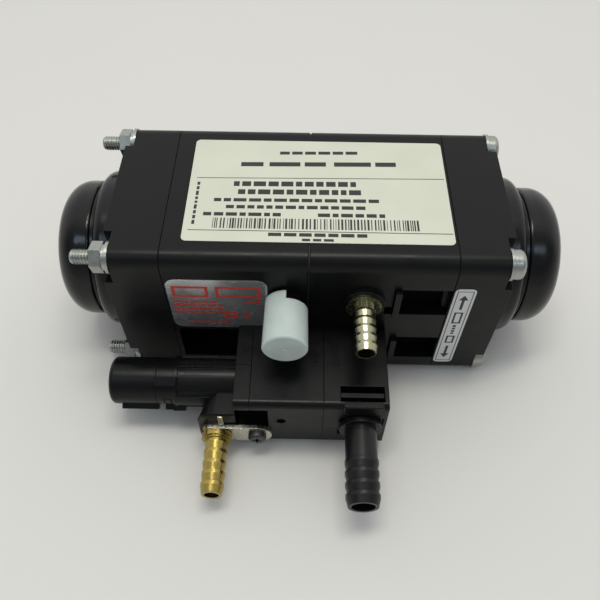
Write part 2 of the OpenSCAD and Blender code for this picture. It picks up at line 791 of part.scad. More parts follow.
// Outline of the front block between two distances from the face
module block_outline(d0, d1) {
    if (d1 < block_d) translate([front_y - d1, block_z]) square([d1 - d0, block_h]);
    else {
        translate([front_y - d1 + block_round, block_z]) square([d1 - d0 - block_round, block_h]);
        translate([front_y - d1, block_z]) square([d1 - d0, block_h - block_round]);
        translate([front_y - d1 + block_round, block_top - block_round]) circle(block_round);
    }
}

// Pocket in the front of the block, open to the left
module pocket_cut() {
    front() brick(-block_left - over, -block_left + pocket_w, block_top - pocket_drop - pocket_h,
        block_top - pocket_drop, block_d - pocket_depth, block_d + over);
}

// Middle section of the block, with the bore of the spool's sleeve
module spool_body() {
    color(black) difference() {
        across(-seam_left + seam_line, seam_right - seam_line) block_outline(block_seat, block_d);
        rod_x(sleeve_r + fit_gap, -seam_left - over, seam_right + over, spool_y, in_z);
        pocket_cut();
        front(-screw_x, gas_z) cylinder(h = block_d + over, r = screw_r + screw_gap);
        front(-vent_hole_x, in_z + vent_r) translate([0, 0, spool_d]) cylinder(h = block_d, r = vent_r);
    }
}
spool_y = front_y - spool_d;
vent_hole_x = 8.9;
// Gap that shows as a fine line between the block's sections
seam_line = 0.1;
// Gap between the block and the body
block_seat = 0.2;

module spool_sleeve() {
    color("tan") difference() {
        rod_x(sleeve_r, -seam_left + seam_line, seam_right - seam_line, spool_y, in_z);
        rod_x(spool_r + run_gap, -seam_left - over, seam_right + over, spool_y, in_z);
        front(-vent_hole_x, in_z) translate([0, 0, spool_d]) cylinder(h = spool_d, r = vent_r / 2);
    }
}

// Spool with three lands and two necks
module valve_spool() {
    mid = (seam_right - seam_left) / 2;
    spool_l = seam_left + seam_right - 2 * (spool_travel + spool_end);
    land = spool_l / 5;
    color(zinc) for (k = [0, 1, 2, 3, 4]) {
        x0 = mid - spool_l / 2 + k * land;
        rod_x(k % 2 == 0 ? spool_r : spool_neck_r, x0, x0 + land, spool_y, in_z);
    }
}

// Right section of the block: product inlet, its spigot and the slot of the lift-out clip
module inlet_manifold() {
    slot_left = port_x - lift_half_w;
    color(black) difference() {
        union() {
            across(seam_right, block_right) block_outline(block_seat, block_d);
            front(port_x, in_z) translate([0, 0, -out_spigot_l + over])
                cylinder(h = out_spigot_l, r = in_spigot_r);
        }
        front(port_x, in_z) {
            translate([0, 0, -out_spigot_l]) cylinder(h = 2 * block_d, r = in_bore_r);
            translate([0, 0, in_socket_d]) cylinder(h = block_d, r = in_spigot_r + run_gap);
            // Groove for the slide clip, and the groove of the seal behind it
            translate([0, 0, -clip_d - clip_t - face_gap]) groove(in_groove_r, in_spigot_r + over,
                clip_t + 2 * face_gap);
            translate([0, 0, -seal_d]) groove(in_spigot_r - seal_t, in_spigot_r + over, seal_w);
        }
        // Slot of the lift-out clip, open at the top
        front() brick(slot_left, port_x + lift_half_w, in_z - lift_half_w, block_top + over,
            lift_slot_d, lift_slot_d + lift_slot_w);
        // Bay in which the fitting's flange turns
        front() brick(port_x - in_flange_r - clip_gap, port_x + in_flange_r + clip_gap,
            in_z - in_flange_r - clip_gap, in_z + in_flange_r - bay_drop,
            block_d - bay_d, block_d + over);
    }
}
lift_half_w = 7.7;
in_socket_l = 18.2;
in_socket_d = block_d - in_socket_l;
seal_d = 11;
seal_w = 2.2;
seal_t = 1.4;
bay_d = 0.9;
bay_drop = 2.6;

// Ring that cuts a groove between two radii
module groove(r_in, r_out, w) {
    difference() {
        cylinder(h = w, r = r_out);
        translate([0, 0, -over]) cylinder(h = w + 2 * over, r = r_in);
    }
}

// Sealing ring in a groove
module seal_ring(r_in, r_out, w) {
    rotate_extrude() translate([r_in, 0]) square([r_out - r_in, w]);
}

module inlet_manifold_seal() {
    color(rubber) front(port_x, in_z) translate([0, 0, -seal_d + fit_gap])
        seal_ring(in_spigot_r - seal_t + fit_gap, in_spigot_r + run_gap - fit_gap, seal_w - 2 * fit_gap);
}

// Left section of the block, rear half, with the seat of the shut-off's tube
module shutoff_body() {
    color(black) difference() {
        across(-block_left, -seam_left) block_outline(block_seat, spool_d - seam_line);
        shutoff_seat_cut();
    }
}
module shutoff_seat_cut() {
    rod_x(tube_spigot_r + fit_gap, -block_left - over, -block_left + tube_spigot_l, spool_y, in_z);
    rod_x(poppet_r + run_gap, -block_left - over, -seam_left + over, spool_y, in_z);
}
tube_spigot_r = 6.4;
tube_spigot_l = 2.5;
poppet_r = 2;

// Left section of the block, front half, with the hood round the gas barb
module gas_inlet_housing() {
    color(black) difference() {
        union() {
            across(-block_left, -seam_left) block_outline(spool_d + seam_line, block_d);
            front(-gas_x, gas_z) {
                translate([0, 0, hood_d + hood_r]) cylinder(h = hood_end - hood_d - hood_r, r = hood_r);
                translate([0, 0, hood_d + hood_r]) sphere(hood_r);
            }
            // Web between the hood and the block
            front() brick(-gas_x, -block_left + over, block_z, gas_z + hood_r,
                hood_d + web_t, hood_end - hood_r);
            front() brick(-gas_x - hood_r + web_t, -block_left + over, block_z, gas_z,
                hood_d + hood_r, hood_end);
        }
        shutoff_seat_cut();
        rod_x(tube_r + tube_rib_h + clip_gap, -collar_x, -block_left, spool_y, in_z);
        pocket_cut();
        front(-gas_x, gas_z) {
            translate([0, 0, gas_socket_d]) cylinder(h = hood_end, r = gas_spigot_r + run_gap);
            translate([0, 0, gas_flange_d - face_gap]) cylinder(h = hood_end, r = gas_collar_r + run_gap);
        }
    }
}
hood_end = block_d - clip_gap / 2;
gas_socket_l = 7.7;
gas_flange_in = 1.8;
gas_socket_d = block_d - gas_socket_l;
gas_flange_d = block_d - gas_flange_in;

// Ribbed tube of the shut-off and its bayonet collar
module shutoff_tube() {
    bore = tube_r - tube_wall;
    color(black) difference() {
        union() {
            rod_x(tube_r, -collar_x, -block_left, spool_y, in_z);
            rod_x(tube_spigot_r, -block_left - over, -block_left + tube_spigot_l, spool_y, in_z);
            intersection() {
                rod_x(tube_r + tube_rib_h, -tube_x, -block_left, spool_y, in_z);
                for (k = [0 : tube_ribs - 1]) across(-tube_x - over, -block_left + over, spool_y, in_z)
                    rotate(rib_turn + k * 360 / tube_ribs)
                        lug_sector(tube_r - over, 2 * tube_r, -rib_half_turn, rib_half_turn);
            }
            // Raised ring that carries the bayonet slots, and its two catches
            rod_x(tube_r + tube_rib_h, -tube_x - band_w, -tube_x, spool_y, in_z);
            across(-collar_x, -tube_x, spool_y, in_z) rotate(top_rib_turn)
                radial_rib(catch_h, catch_w);
            across(-collar_x + web_t, -tube_x + web_t, spool_y, in_z) rotate(low_rib_turn)
                radial_rib(catch_h, catch_w);
        }
        rod_x(bore, -collar_x - over, -block_left - web_t, spool_y, in_z);
        rod_x(poppet_r + run_gap, -block_left - web_t - over, -block_left + tube_spigot_l + over,
            spool_y, in_z);
        // Two bayonet slots, each an entry and a turn
        for (a = [0, 180]) {
            across(-lug_x - clip_gap, -lug_x + lug_l + clip_gap, spool_y, in_z)
                lug_sector(bore - over, tube_r + over + catch_h, a - lug_half_turn - lug_play,
                    a + lug_half_turn + cap_turn + lug_play);
            across(-collar_x - over, -lug_x + lug_l, spool_y, in_z)
                lug_sector(bore - over, tube_r + over + catch_h, a + cap_turn - lug_half_turn - lug_play,
                    a + cap_turn + lug_half_turn + lug_play);
        }
    }
}
rib_half_turn = 16;
rib_turn = 18;
grip_w = 2.4;
grip_h = 1.8;
band_w = 1.4;
catch_w = 3.2;
catch_h = 2.2;
top_rib_turn = 120;
low_rib_turn = 215;
lug_l = 2.2;
lock_lip = 2.95;
lug_x = collar_x - lock_lip;
lug_half_turn = 11;
lug_play = 2;

// Outline of a rib on the tube's outside, in a plane across the axis
module radial_rib(h, w) {
    translate([tube_r - over, -w / 2]) square([over + h, w]);
}

// Sector of a ring between two angles
module lug_sector(r_in, r_out, a0, a1) {
    step = (a1 - a0) / sector_steps;
    polygon(concat([for (k = [0 : sector_steps]) r_out * [cos(a0 + k * step), sin(a0 + k * step)]],
        [for (k = [sector_steps : -1 : 0]) r_in * [cos(a0 + k * step), sin(a0 + k * step)]]));
}
sector_steps = 6;

skirt_l = 7.2;
cap_floor = 4;
post_r = 2.8;

// Bayonet cap: cup, skirt inside the tube and two lugs
module shutoff_cap() {
    skirt_r = tube_r - tube_wall - run_gap;
    color(satin) {
        difference() {
            union() {
                translate([0, spool_y, in_z]) rotate([0, -90, 0]) rotate_extrude()
                    bar_section(tube_r, collar_x + face_gap, cap_x, cap_round);
                rod_x(skirt_r, -collar_x - over, -collar_x + skirt_l, spool_y, in_z);
                for (a = [0, 180]) across(-lug_x, -lug_x + lug_l, spool_y, in_z)
                    lug_sector(skirt_r - over, tube_r, a - lug_half_turn, a + lug_half_turn);
                // Grip rib along the lower front of the cap
                across(-cap_x + 2 * cap_round, -collar_x - face_gap, spool_y, in_z)
                    rotate(low_rib_turn) radial_rib(grip_h, grip_w);
            }
            rod_x(skirt_r - tube_wall, -cap_x + cap_floor, -collar_x + skirt_l + over, spool_y, in_z);
        }
        // Post that guides the spring and stops the piston at the end of its travel
        rod_x(post_r, -cap_x + cap_floor - over, -shut_x - web_t - shut_travel - face_gap, spool_y, in_z);
    }
}

// Piston of the shut-off and the stem that closes the gas way
module shutoff_piston() {
    bore = tube_r - tube_wall;
    color(acetal) difference() {
        union() {
            rod_x(bore - run_gap, -shut_x - shut_piston_l, -shut_x, spool_y, in_z);
            rod_x(poppet_r, -shut_x, -seam_left - web_t, spool_y, in_z);
        }
        rod_x(spring_r + wire_r + clip_gap, -shut_x - shut_piston_l - over, -shut_x - web_t, spool_y, in_z);
    }
}
shut_piston_l = 5;
shut_x = block_left + web_t + clip_gap;

// Compression spring between the cap and the piston
module shutoff_spring() {
    x0 = -cap_x + cap_floor + wire_r + face_gap;
    x1 = -shut_x - web_t - wire_r - face_gap;
    color(zinc) helix(x0, x1, spring_r, wire_r, spring_turns);
}
module helix(x0, x1, r, w, turns) {
    n = turns * coil_steps;
    centre = [for (i = [0 : n]) [x0 + (x1 - x0) * i / n, spool_y + r * cos(i * 360 / coil_steps),
        in_z + r * sin(i * 360 / coil_steps)]];
    ring = [for (i = [0 : n]) let (t = i * 360 / coil_steps, u = [0, cos(t), sin(t)])
        [for (k = [0 : coil_sides - 1]) let (a = k * 360 / coil_sides)
            centre[i] + w * (cos(a) * u + sin(a) * [1, 0, 0])]];
    pts = [for (a = ring) each a];
    side = [for (i = [0 : n - 1], k = [0 : coil_sides - 1]) let (a = i * coil_sides + k,
        b = i * coil_sides + (k + 1) % coil_sides)
        each [[a, b, b + coil_sides], [a, b + coil_sides, a + coil_sides]]];
    first = [for (k = [1 : coil_sides - 2]) [0, k + 1, k]];
    last = [for (k = [1 : coil_sides - 2]) [n * coil_sides, n * coil_sides + k, n * coil_sides + k + 1]];
    polyhedron(pts, concat(side, first, last));
}
coil_steps = 16;
coil_sides = 6;

// Hose barb as a half section: ridges that rise to a land and drop to the root
module barb_section(d0, d1, count, ridge_r, root_r) {
    pitch = (d1 - d0) / count;
    for (k = [0 : count - 1]) translate([0, d0 + k * pitch])
        polygon([[0, 0], [ridge_r, 0], [ridge_r, pitch * land_share], [root_r, pitch], [0, pitch]]);
}
land_share = 0.3;

// Stainless barb on the product outlet
module product_out_barb() {
    color(zinc) front(port_x, out_z) rotate_extrude() difference() {
        union() {
            translate([0, -out_spigot_l]) square([out_spigot_r, out_spigot_l - clip_d]);
            translate([0, -clip_d + 2 * face_gap]) square([out_flange_r, clip_d + out_flange_t]);
            translate([0, 0]) square([out_neck_r, out_flange_t + out_neck_l]);
            translate([0, -clip_d - clip_t]) square([out_groove_r, clip_d + clip_t]);
            barb_section(out_flange_t + out_neck_l, out_tip_d, out_ridges, out_barb_r, out_neck_r);
        }
        translate([-over, -out_spigot_l - over])
            square([out_bore_r + over, out_spigot_l + out_tip_d + 2 * over]);
        ring_section(out_groove_r, out_spigot_r + over, -clip_d - clip_t - face_gap, -clip_d + face_gap);
        ring_section(out_spigot_r - seal_t, out_spigot_r + over, -seal_d, -seal_d + seal_w);
    }
}
out_flange_t = 2.4;
out_neck_l = 2.4;

module out_barb_seal() {
    color(rubber) front(port_x, out_z) translate([0, 0, -seal_d + fit_gap])
        seal_ring(out_spigot_r - seal_t + fit_gap, out_spigot_r + run_gap - fit_gap, seal_w - 2 * fit_gap);
}

// Slide clip: a fork round the fitting's groove and a finger tab in the slot
module slide_clip(z, x, groove_radius) {
    left = port_x - clip_reach;
    color(satin) front() difference() {
        union() {
            brick(left, x + tab_w, z - clip_half_h, z + clip_half_h, -clip_d - clip_t, -clip_d);
            brick(x + clip_gap / 2, x + tab_w, z - clip_half_h, z + clip_half_h, -clip_d - clip_t, tab_out);
        }
        translate([port_x, z, -clip_d - clip_t - over])
            cylinder(h = clip_t + 2 * over, r = groove_radius + run_gap);
        brick(left - over, port_x, z - groove_radius - run_gap, z + groove_radius + run_gap,
            -clip_d - clip_t - over, -clip_d + over);
    }
}
module out_slide_clip() { slide_clip(out_z, slot_x, out_groove_r); }
module in_slide_clip() { slide_clip(in_z, low_slot_x, in_groove_r); }

// Plastic barb on the product inlet
module product_in_barb() {
    groove_d = lift_clip_d - face_gap;
    color(black) front(port_x, in_z) rotate_extrude() difference() {
        union() {
            translate([0, in_socket_d + over]) square([in_spigot_r, block_d - in_socket_d]);
            translate([0, block_d + face_gap]) square([in_flange_r, in_flange_t]);
            translate([0, block_d]) square([in_neck_r, in_ridge_d - block_d]);
            barb_section(in_ridge_d, in_tip_d, in_ridges, in_barb_r, in_root_r);
        }
        translate([-over, 0]) square([in_bore_r + over, in_tip_d + over]);
        ring_section(in_groove_r, in_spigot_r + over, groove_d, groove_d + lift_clip_t + 2 * face_gap);
        ring_section(in_spigot_r - seal_t, in_spigot_r + over, in_seal_d, in_seal_d + seal_w);
    }
}
lift_clip_d = lift_slot_d + (lift_slot_w - lift_clip_t) / 2;
in_seal_in = 3;
in_seal_d = in_socket_d + in_seal_in;

module in_barb_seal() {
    color(rubber) front(port_x, in_z) translate([0, 0, in_seal_d + fit_gap])
        seal_ring(in_spigot_r - seal_t + fit_gap, in_spigot_r + run_gap - fit_gap, seal_w - 2 * fit_gap);
}

// Clip that lifts out of the top of the manifold
module inlet_lift_clip() {
    half = lift_half_w - clip_gap / 2;
    color(satin) front() difference() {
        brick(port_x - half, port_x + half, in_z - half + clip_gap, block_top - lift_top_gap,
            lift_clip_d, lift_clip_d + lift_clip_t);
        translate([port_x, in_z, lift_clip_d - over])
            cylinder(h = lift_clip_t + 2 * over, r = in_groove_r + run_gap);
        brick(port_x - in_groove_r - run_gap, port_x + in_groove_r + run_gap, in_z - 2 * half, in_z,
            lift_clip_d - over, lift_clip_d + lift_clip_t + over);
    }
}
lift_top_gap = 1;

// Brass barb on the gas inlet, with the groove for the retainer plate
module gas_in_barb() {
    color("goldenrod") front(-gas_x, gas_z) rotate_extrude() difference() {
        union() {
            translate([0, gas_socket_d + face_gap]) square([gas_spigot_r, gas_flange_d - gas_socket_d]);
            translate([0, gas_flange_d]) square([gas_collar_r, gas_collar_d - gas_flange_d - collar_step]);
            translate([0, gas_flange_d]) square([gas_collar_r - collar_step, gas_collar_d - gas_flange_d]);
            barb_section(gas_collar_d, gas_tip_d, gas_ridges, gas_barb_r, gas_root_r);
        }
        translate([-over, 0]) square([gas_bore_r + over, gas_tip_d + over]);
        ring_section(gas_groove_r, gas_collar_r + over, block_d - face_gap, block_d + plate_t + 2 * face_gap);
        ring_section(gas_spigot_r - gas_seal_t, gas_spigot_r + over, gas_seal_d, gas_seal_d + gas_seal_w);
    }
}
collar_step = 0.7;
gas_groove_r = 3.8;
gas_seal_t = 1;
gas_seal_w = 1.6;
gas_seal_in = 2;
gas_seal_d = gas_socket_d + gas_seal_in;

module gas_barb_seal() {
    color(rubber) front(-gas_x, gas_z) translate([0, 0, gas_seal_d + fit_gap])
        seal_ring(gas_spigot_r - gas_seal_t + fit_gap, gas_spigot_r + run_gap - fit_gap,
            gas_seal_w - 2 * fit_gap);
}

// Forked plate that holds the gas barb, round at the screw
module retainer_plate() {
    fork_h = gas_collar_r - collar_step;
    color(bright) front() translate([0, 0, block_d + face_gap / 2]) linear_extrude(height = plate_t)
        difference() {
            union() {
                translate([-screw_x, gas_z]) circle(plate_r);
                polygon([[-screw_x, gas_z + plate_r], [-gas_x, gas_z + fork_h],
                    [-gas_x - fork_reach, gas_z + fork_h], [-gas_x - fork_reach, gas_z - fork_h],
                    [-gas_x, gas_z - fork_h], [-screw_x, gas_z - plate_r]]);
            }
            translate([-gas_x, gas_z]) circle(gas_groove_r + run_gap);
            translate([-gas_x - 2 * fork_reach, gas_z - gas_groove_r - run_gap])
                square([2 * fork_reach, 2 * (gas_groove_r + run_gap)]);
            translate([-screw_x, gas_z]) circle(screw_r + screw_gap);
        }
}
fork_reach = 3.2;

// Pan-head screw with a cross recess
module retainer_screw() {
    under = block_d + face_gap / 2 + plate_t;
    color(satin) front(-screw_x, gas_z) difference() {
        union() {
            translate([0, 0, -screw_in]) cylinder(h = screw_in + under + cross_w, r = screw_r);
            translate([0, 0, under]) rotate_extrude()
                bar_section(screw_head_r, 0, screw_head_h, screw_head_h / 2);
        }
        for (a = [0, 90]) rotate(a) translate([-screw_head_r / 2, -cross_w / 2, under + screw_head_h / 2])
            cube([screw_head_r, cross_w, screw_head_h]);
    }
}
cross_w = 0.8;

// Nipple of the gas outlet, pressed into the left middle housing
module gas_out_nipple() {
    color(black) front(-vent_x, out_z) rotate_extrude() difference() {
        union() {
            translate([0, -nipple_seat_l]) square([nipple_seat_r, nipple_seat_l]);
            square([nipple_root_r, nipple_d - nipple_ridge_l]);
            barb_section(nipple_d - nipple_ridge_l, nipple_d, nipple_ridges, nipple_r, nipple_root_r);
        }
        translate([-over, -nipple_seat_l - over])
            square([nipple_bore_r + over, nipple_seat_l + nipple_d + 2 * over]);
    }
}
nipple_root_r = 4.9;
nipple_ridge_l = 9;

// Soft protective cap over the gas outlet, with a stepped rim and a gate mark
module gas_out_cap() {
    color(milky) front(-vent_x, out_z) difference() {
        union() {
            rotate_extrude() polygon([[0, shroud_gap], [shroud_rim_r, shroud_gap],
                [shroud_r, shroud_d - shroud_edge], [shroud_r - shroud_edge, shroud_d], [0, shroud_d]]);
            translate([0, 0, shroud_d - over]) cylinder(h = over + gate_h, r = gate_r);
        }
        translate([0, 0, shroud_gap - over])
            cylinder(h = shroud_d - shroud_gap - shroud_wall + over, r = nipple_r + shroud_fit);
        translate([0, -shroud_r - over, -over])
            cube([shroud_r + over, 2 * shroud_r + 2 * over, over + shroud_gap + shroud_step]);
    }
}
shroud_edge = 0.5;
shroud_fit = 0.08;
gate_h = 0.5;
gate_r = 0.8;

module top_label() {
    color(pale) translate([top_label_x - top_label_l / 2, -top_label_w / 2, body_s])
        linear_extrude(height = label_t) round_rect(top_label_l, top_label_w, label_round);
}
module gas_label() {
    color(zinc) front() translate([-seam_x + label_edge, gas_label_z, 0])
        linear_extrude(height = label_t) difference() {
            round_rect(gas_label_l, gas_label_h, 2 * label_round);
            translate([seam_x - label_edge - vent_x, out_z - gas_label_z]) circle(nipple_seat_r + label_t);
        }
}
label_edge = 0.6;
module port_label() {
    color(pale) front()
        translate([seam_x + label_edge, axis_z - port_label_h / 2 - port_label_drop, 0])
        linear_extrude(height = label_t) round_rect(port_label_w, port_label_h, label_round);
}
port_label_drop = 2.7;

mid_housing_left();
mid_housing_right();
centre_gasket();
end_cap_left();
end_cap_right();
dome_left();
dome_right();
diaphragm_left();
diaphragm_right();
inner_piston_left();
inner_piston_right();
outer_piston_left();
outer_piston_right();
pump_shaft();
shaft_nuts();
shaft_seals();
inlet_valve_seats();
inlet_valve_flaps();
outlet_valve_seats();
outlet_valve_flaps();
tie_bolts();
tie_nuts();
flat_washers();
lock_washers();
spool_body();
spool_sleeve();
valve_spool();
inlet_manifold();
inlet_manifold_seal();
shutoff_body();
gas_inlet_housing();
shutoff_tube();
shutoff_cap();
shutoff_piston();
shutoff_spring();
gas_in_barb();
gas_barb_seal();
retainer_plate();
retainer_screw();
product_out_barb();
out_barb_seal();
out_slide_clip();
in_slide_clip();
product_in_barb();
in_barb_seal();
inlet_lift_clip();
gas_out_nipple();
gas_out_cap();
top_label();
gas_label();
port_label();
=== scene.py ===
import math
import random

import bmesh
import bpy
from mathutils import Matrix, Vector


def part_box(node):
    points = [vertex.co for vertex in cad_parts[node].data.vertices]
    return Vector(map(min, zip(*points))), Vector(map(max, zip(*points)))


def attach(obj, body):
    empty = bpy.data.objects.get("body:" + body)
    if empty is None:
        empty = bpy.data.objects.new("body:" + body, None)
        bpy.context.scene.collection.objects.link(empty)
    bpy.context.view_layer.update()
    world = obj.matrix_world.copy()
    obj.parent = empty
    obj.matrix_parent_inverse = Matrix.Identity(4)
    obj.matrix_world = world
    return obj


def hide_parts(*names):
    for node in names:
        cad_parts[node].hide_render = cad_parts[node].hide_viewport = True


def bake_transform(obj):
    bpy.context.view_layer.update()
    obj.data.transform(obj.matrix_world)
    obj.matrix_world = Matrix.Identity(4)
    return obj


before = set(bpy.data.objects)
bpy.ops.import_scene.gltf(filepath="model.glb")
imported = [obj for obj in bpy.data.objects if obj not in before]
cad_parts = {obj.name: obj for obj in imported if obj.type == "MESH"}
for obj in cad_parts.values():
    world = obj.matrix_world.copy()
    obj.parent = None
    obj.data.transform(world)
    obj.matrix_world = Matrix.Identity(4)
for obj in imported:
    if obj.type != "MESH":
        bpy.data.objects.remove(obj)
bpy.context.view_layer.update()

MM = 0.001

# Camera, fitted to the photograph: place in metres, angles in degrees
CAMERA_PLACE = (-1.388 * MM, -166.972 * MM, 231.236 * MM)
CAMERA_YAW = -0.64
CAMERA_PITCH = 54.13
CAMERA_ROLL = -0.53
FOCAL_PIXELS = 643.6
FRAME_PIXELS = 600
SENSOR_MM = 36

# Places that follow from the frame
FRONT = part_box("end_cap_left")[0].y
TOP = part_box("end_cap_left")[1].z
AXIS_Z = TOP / 2

# Colour sockets of Blender's Mix node, whose names it uses more than once
MIX_SHARE, MIX_A, MIX_B, MIX_RESULT = 0, 6, 7, 2
BEVEL_SAMPLES = 6
PRINT_THICK = 0.02


def make_camera():
    """Camera at the photograph's place, angle and focal length."""
    yaw, pitch, roll = (math.radians(a) for a in (CAMERA_YAW, CAMERA_PITCH, CAMERA_ROLL))
    ahead = Vector((math.sin(yaw) * math.cos(pitch), math.cos(yaw) * math.cos(pitch), -math.sin(pitch)))
    right = Vector((math.cos(yaw), -math.sin(yaw), 0))
    down = ahead.cross(right)
    side = math.cos(roll) * right + math.sin(roll) * down
    below = -math.sin(roll) * right + math.cos(roll) * down
    data = bpy.data.cameras.new("camera")
    data.sensor_width = SENSOR_MM
    data.lens = SENSOR_MM * FOCAL_PIXELS / FRAME_PIXELS
    data.clip_start = 1 * MM
    camera = bpy.data.objects.new("camera", data)
    turn = Matrix((side, -below, -ahead)).transposed().to_4x4()
    camera.matrix_world = Matrix.Translation(CAMERA_PLACE) @ turn
    bpy.context.scene.collection.objects.link(camera)
    bpy.context.scene.camera = camera


class Paint:
    """A material's node tree, with one short call for each kind of node that the finishes use."""

    def __init__(self, name):
        self.material = bpy.data.materials.new(name)
        self.material.use_nodes = True
        self.tree = self.material.node_tree
        self.shader = self.tree.nodes["Principled BSDF"]
        coordinates = self.node("ShaderNodeTexCoord").outputs["Object"]
        # Object coordinates in millimetres
        self.place = self.vector("SCALE", coordinates, scale=1 / MM)

    def node(self, kind, **settings):
        made = self.tree.nodes.new(kind)
        for key, value in settings.items():
            setattr(made, key, value)
        return made

    def put(self, socket, value):
        if isinstance(value, bpy.types.NodeSocket):
            self.tree.links.new(value, socket)
        else:
            socket.default_value = value

    def set(self, **values):
        for key, value in values.items():
            self.put(self.shader.inputs[key.replace("_", " ")], value)

    def vector(self, operation, a, b=None, scale=None):
        made = self.node("ShaderNodeVectorMath", operation=operation)
        self.put(made.inputs[0], a)
        if b is not None:
            self.put(made.inputs[1], b)
        if scale is not None:
            self.put(made.inputs["Scale"], scale)
        return made.outputs["Value"] if operation == "DOT_PRODUCT" else made.outputs["Vector"]

    def maths(self, operation, a, b):
        made = self.node("ShaderNodeMath", operation=operation)
        self.put(made.inputs[0], a)
        self.put(made.inputs[1], b)
        return made.outputs[0]

    def noise(self, size, detail=2.0, stretch=(1, 1, 1), roughness=0.5):
        """Noise with features of about that size in millimetres."""
        made = self.node("ShaderNodeTexNoise")
        self.put(made.inputs["Vector"], self.vector("MULTIPLY", self.place, stretch))
        made.inputs["Scale"].default_value = 1 / size
        made.inputs["Detail"].default_value = detail
        made.inputs["Roughness"].default_value = roughness
        return made.outputs["Fac"]

    def span(self, value, low, high, to_low=0.0, to_high=1.0):
        made = self.node("ShaderNodeMapRange")
        for key, number in (("From Min", low), ("From Max", high), ("To Min", to_low), ("To Max", to_high)):
            made.inputs[key].default_value = number
        self.put(made.inputs["Value"], value)
        return made.outputs["Result"]

    def mix(self, share, a, b):
        made = self.node("ShaderNodeMix", data_type="RGBA")
        self.put(made.inputs[MIX_SHARE], share)
        for socket, colour in ((made.inputs[MIX_A], a), (made.inputs[MIX_B], b)):
            self.put(socket, (*colour, 1) if isinstance(colour, tuple) else colour)
        return made.outputs[MIX_RESULT]

    def bump(self, height, depth, normal=None):
        """Bump of that depth in millimetres."""
        made = self.node("ShaderNodeBump")
        made.inputs["Distance"].default_value = depth * MM
        self.put(made.inputs["Height"], height)
        if normal is not None:
            self.put(made.inputs["Normal"], normal)
        return made.outputs["Normal"]

    def rounded(self, radius):
        """Normal of edges rounded to that radius in millimetres."""
        made = self.node("ShaderNodeBevel", samples=BEVEL_SAMPLES)
        made.inputs["Radius"].default_value = radius * MM
        return made.outputs["Normal"]

    def edges(self, radius):
        """1 on edges within that radius in millimetres, 0 on open faces."""
        flat = self.node("ShaderNodeNewGeometry").outputs["Normal"]
        along = self.vector("DOT_PRODUCT", self.rounded(radius), flat)
        return self.span(self.maths("SUBTRACT", 1.0, along), 0.02, 0.25)

    def facing_up(self):
        """1 on level faces, 0 on those that lean by more than about 50 degrees."""
        flat = self.node("ShaderNodeNewGeometry").outputs["Normal"]
        return self.span(self.vector("DOT_PRODUCT", flat, (0, 0, 1)), 0.6, 1.0)


def moulded(name, colour, rough, grain=0.9, grain_depth=0.012, edge=0.35, dust=0.10, worn=0.5, shine=0.2):
    """Moulded plastic: fine grain, faint flow marks, a little dust on top and lighter, rubbed edges."""
    paint = Paint(name)
    cloud = paint.noise(14, 3)
    speck = paint.noise(0.55, 2)
    lighter = tuple(min(1, c * 1.9 + 0.010) for c in colour)
    dusty = tuple(c * 0.75 + 0.055 for c in colour)
    base = paint.mix(paint.span(cloud, 0.35, 0.7), colour, tuple(c * 1.25 for c in colour))
    dirt = paint.maths("MULTIPLY", paint.span(speck, 0.52, 0.78), paint.facing_up())
    base = paint.mix(paint.maths("MULTIPLY", dirt, dust), base, dusty)
    rub = paint.maths("MULTIPLY", paint.edges(edge), paint.span(paint.noise(2.3, 3), 0.35, 0.65))
    base = paint.mix(paint.maths("MULTIPLY", rub, worn), base, lighter)
    paint.set(Base_Color=base)
    wander = paint.span(paint.noise(6, 4), 0.3, 0.7, rough - 0.05, rough + 0.06)
    scuff = paint.span(paint.noise(0.5, 3, (0.03, 1, 1)), 0.66, 0.75, 0.0, 0.09)
    paint.set(Roughness=paint.maths("ADD", wander, scuff))
    paint.set(Specular_IOR_Level=shine)
    fine = paint.bump(paint.noise(grain, 2), grain_depth, paint.rounded(edge))
    paint.set(Normal=paint.bump(paint.noise(9, 1), 0.03, fine))
    return paint.material


def metal(name, colour, rough, edge=0.2, turned=None, tarnish=None, blotch=0.35, grain_depth=0.004):
    """Metal with a wandering polish; turned="X" or "Y" adds the lathe's fine rings along that axis."""
    paint = Paint(name)
    dull = tarnish or tuple(c * 0.62 for c in colour)
    cloud = paint.span(paint.noise(3.2, 4), 0.42, 0.72)
    base = paint.mix(paint.maths("MULTIPLY", cloud, blotch), colour, dull)
    paint.set(Base_Color=base, Metallic=1.0)
    paint.set(Roughness=paint.span(paint.noise(1.4, 4), 0.3, 0.72, rough - 0.06, rough + 0.12))
    height = paint.noise(0.5, 2)
    if turned:
        squeeze = {"X": (1, 0.02, 0.02), "Y": (0.02, 1, 0.02)}[turned]
        height = paint.noise(0.7, 2, squeeze)
    paint.set(Normal=paint.bump(height, grain_depth, paint.rounded(edge)))
    return paint.material


def film(name, colour, rough, metallic=0.0, coat=0.0, waviness=0.05):
    """Printed label film, which lies almost flat and carries faint rubs."""
    paint = Paint(name)
    shade = paint.span(paint.noise(18, 2), 0.35, 0.7)
    paint.set(Base_Color=paint.mix(paint.maths("MULTIPLY", shade, 0.5), colour, tuple(c * 0.9 for c in colour)))
    paint.set(Metallic=metallic, Coat_Weight=coat, Coat_Roughness=0.12)
    rub = paint.span(paint.noise(0.45, 3, (0.04, 1, 1)), 0.6, 0.75, 0.0, 0.08)
    paint.set(Roughness=paint.maths("ADD", paint.span(paint.noise(7, 3), 0.3, 0.7, rough - 0.04, rough + 0.05), rub))
    paint.set(Normal=paint.bump(paint.noise(11, 1), waviness, paint.rounded(0.1)))
    return paint.material


